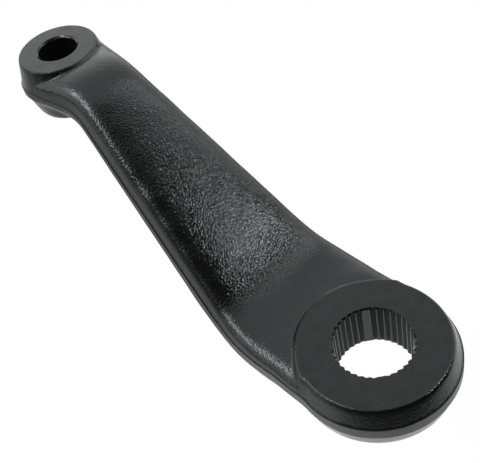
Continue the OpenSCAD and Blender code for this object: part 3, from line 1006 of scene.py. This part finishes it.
def mix_paint(paint, values):
    """Fills an empty paint with the groups and the values of its finish."""
    paint.use_nodes = True
    tree = paint.node_tree
    shader = tree.nodes["Principled BSDF"].inputs
    coat = node(tree, "ShaderNodeGroup", values["film"], node_tree=film)
    under = node(tree, "ShaderNodeGroup", values["skin"], node_tree=skin)
    bumps, rough = under.outputs["Height"], coat.outputs["Roughness"]
    if "marks" in values:
        lines = node(tree, "ShaderNodeGroup", values["marks"], node_tree=tool_marks)
        bumps = math_node(tree, "ADD", bumps, lines.outputs["Height"])
    if "groove" in values:
        rough = node(tree, "ShaderNodeMix", {0: groove_mask(tree), 2: rough, 3: values["groove"]}).outputs[0]
    relief = node(tree, "ShaderNodeBump", {"Height": bumps, "Distance": values["relief"], "Strength": 1.0})
    shader["Specular IOR Level"].default_value = values.get("shine", PLAIN_SHINE)
    shader["Specular Tint"].default_value = COOL_SHEEN
    tree.links.new(coat.outputs["Colour"], shader["Base Color"])
    tree.links.new(rough, shader["Roughness"])
    tree.links.new(relief.outputs["Normal"], shader["Normal"])
    print("paint:", paint.name, "relief in mm", round(values["relief"] / MM, 3))


for kind, values in FINISHES.items():
    mix_paint(paints[kind], values)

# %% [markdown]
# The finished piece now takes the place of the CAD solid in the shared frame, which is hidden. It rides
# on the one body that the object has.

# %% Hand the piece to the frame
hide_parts("pitman_arm")
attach(forging, "root")
print("handed over:", forging.name)

# %% [markdown]
# The studio is plain: a pale floor, a pale surround and three softboxes. Black paint shows next to nothing
# of its own colour, only what it mirrors, so that is graded as in a light tent that is open towards the
# camera: bright behind the arm, dark on the camera's side. The floor's colour carries painted shade on that
# side and far away, and a painted shadow under the small eye. The camera itself sees both the floor and
# the surround as white, through Light Path, and a share of the floor stays matt to keep the shadow.

# %% Floor
FLOOR_DROP, FLOOR_HALF = 0.1, 4.0

floor_z = float(cad_box[0][2]) - FLOOR_DROP
floor_corners = [(x * FLOOR_HALF, y * FLOOR_HALF, floor_z) for x, y in ((-1, -1), (1, -1), (1, 1), (-1, 1))]
floor_mesh = bpy.data.meshes.new("floor")
floor_mesh.from_pydata(floor_corners, [], [(0, 1, 2, 3)])
floor = placed("floor", floor_mesh)
print("floor at", round(floor_z / MM, 1), "mm")

# %% [markdown]
# The floor's material is white where nothing dims it. Three ramps over its own coordinates paint shade into
# its colour towards the camera and far away, and a painted shadow under the small eye, and only mirrors and
# bounced light notice: for a ray that comes straight from the camera, the shade is put back to 1.

# %% Pale material of the floor
# Ramps of painted shade in the floor's colour; the third one is a painted shadow under the small eye
OPEN_AZIMUTH, OPEN_FROM, OPEN_AT, OPEN_LEVEL = 152, 0.08, 0.28, 0.1
FAR_FROM, FAR_AT, FAR_LEVEL = 0.75, 1.4, 0.3
SHADOW_UNDER_EYE_FROM, SHADOW_UNDER_EYE_AT, SHADOW_UNDER_EYE_LEVEL = 0.08, 0.18, 0.6
WHITE_SHARE = 0.85


def direction(azimuth, elevation):
    """Unit vector towards an azimuth and an elevation in degrees."""
    a, e = math.radians(azimuth), math.radians(elevation)
    return Vector((math.cos(a) * math.cos(e), math.sin(a) * math.cos(e), math.sin(e)))


def along_vector(tree, where, way):
    return node(tree, "ShaderNodeVectorMath", {0: where, 1: way}, operation="DOT_PRODUCT").outputs["Value"]


def seen_straight(tree, path):
    """1 for what the camera sees directly or through glass."""
    return math_node(tree, "MAXIMUM", path["Is Camera Ray"], path["Is Transmission Ray"])


pale = bpy.data.materials.new("pale_floor")
floor_mesh.materials.append(pale)
pale.use_nodes = True
tree = pale.node_tree
tree.nodes.clear()
where = object_place(tree)
to_camera = along_vector(tree, where, direction(OPEN_AZIMUTH, 0))
away = node(tree, "ShaderNodeVectorMath", {0: where}, operation="LENGTH").outputs["Value"]
to_small_eye = node(tree, "ShaderNodeSeparateXYZ", {0: where}).outputs["X"]
# Painted shade in the floor's colour: darker towards the camera and far away, and a painted shadow under the
# small eye
shade = ramp(tree, to_camera, OPEN_FROM, OPEN_AT, 1.0, OPEN_LEVEL, "SMOOTHSTEP")
for distance, start, full, level in ((away, FAR_FROM, FAR_AT, FAR_LEVEL),
                                     (to_small_eye, SHADOW_UNDER_EYE_FROM, SHADOW_UNDER_EYE_AT, SHADOW_UNDER_EYE_LEVEL)):
    painted_shade = ramp(tree, distance, start, full, 1.0, level, "SMOOTHSTEP")
    shade = math_node(tree, "MULTIPLY", shade, painted_shade)
path = node(tree, "ShaderNodeLightPath").outputs
straight = seen_straight(tree, path)
shade = math_node(tree, "MAXIMUM", shade, straight)
matt = node(tree, "ShaderNodeBsdfDiffuse", {"Color": shade})
white = node(tree, "ShaderNodeEmission", {"Color": shade, "Strength": 1.0})
seen = math_node(tree, "MAXIMUM", straight, path["Is Glossy Ray"])
share = math_node(tree, "MULTIPLY", seen, WHITE_SHARE)
both = node(tree, "ShaderNodeMixShader", {0: share, 1: matt.outputs[0], 2: white.outputs[0]})
node(tree, "ShaderNodeOutputMaterial", {"Surface": both.outputs[0]})
print("share of the floor that shines by itself:", WHITE_SHARE)

# %% [markdown]
# The surround is the world. A real tent has panels and gaps, and each shows in the paint as a lighter or
# darker patch. Here a patch is a direction with an outer and an inner angle and a level, and the levels
# are multiplied over a base that is a little brighter near the horizon than overhead.

# %% Surround
LIFT_FROM, LIFT_TO, LIFT_LOW, LIFT_HIGH = 0.45, 0.78, 1.45, 1.0
WHITE = (1, 1, 1, 1)
# Azimuth, elevation, outer angle and inner angle in degrees, then the level inside
PATCHES = {
    "open side": (173, 0, 79, 62, 0.02),
    "dark flag": (97, 10, 32, 14, 0.15),
    "back panel": (-22, 28, 31, 11, 1.35),
    "right panel": (-128, 46, 23, 6, 3.0),
}

world = bpy.data.worlds.new("studio")
scene.world = world
world.use_nodes = True
tree = world.node_tree
way = node(tree, "ShaderNodeTexCoord").outputs["Generated"]
up = node(tree, "ShaderNodeSeparateXYZ", {0: way}).outputs["Z"]
shade = ramp(tree, up, LIFT_FROM, LIFT_TO, LIFT_LOW, LIFT_HIGH, "SMOOTHSTEP")
for azimuth, elevation, outer, inner, level in PATCHES.values():
    near = along_vector(tree, way, direction(azimuth, elevation))
    edge_cos, core_cos = math.cos(math.radians(outer)), math.cos(math.radians(inner))
    patch = ramp(tree, near, edge_cos, core_cos, 1.0, level, "SMOOTHSTEP")
    shade = math_node(tree, "MULTIPLY", shade, patch)
straight = seen_straight(tree, node(tree, "ShaderNodeLightPath").outputs)
background = tree.nodes["Background"].inputs
background["Color"].default_value = WHITE
tree.links.new(math_node(tree, "MAXIMUM", shade, straight), background["Strength"])
scene.view_settings.view_transform = "Standard"
print("patches in the surround:", list(PATCHES))

# %% [markdown]
# The softboxes make the sparkle on the pebbles. Two area lamps stand on the left and behind, and a smaller
# one on the right. A point lamp would light single specks only: a larger lamp finds more pebbles that
# face it, so its size sets how much of the skin sparkles.

# %% Softboxes
LAMP_TARGET, LAMP_REACH = Vector((0.09, 0.0, 0.03)), 0.9
# Azimuth and elevation in degrees, side in metres and radiance
SOFTBOXES = {
    "left_softbox": (82, 50, 0.26, 8.5),
    "back_softbox": (42, 50, 0.25, 8.5),
    "right_softbox": (-148, 37, 0.15, 22.0),
}
for name, (azimuth, elevation, side, radiance) in SOFTBOXES.items():
    way = direction(azimuth, elevation)
    lamp_data = bpy.data.lights.new(name, "AREA")
    lamp_data.shape, lamp_data.size, lamp_data.size_y = "RECTANGLE", side, side
    lamp_data.energy = radiance * math.pi * side * side
    lamp = placed(name, lamp_data)
    lamp.location = LAMP_TARGET + way * LAMP_REACH
    lamp.rotation_euler = way.to_track_quat("Z", "Y").to_euler()
    print(name, "watts", round(lamp_data.energy, 2))
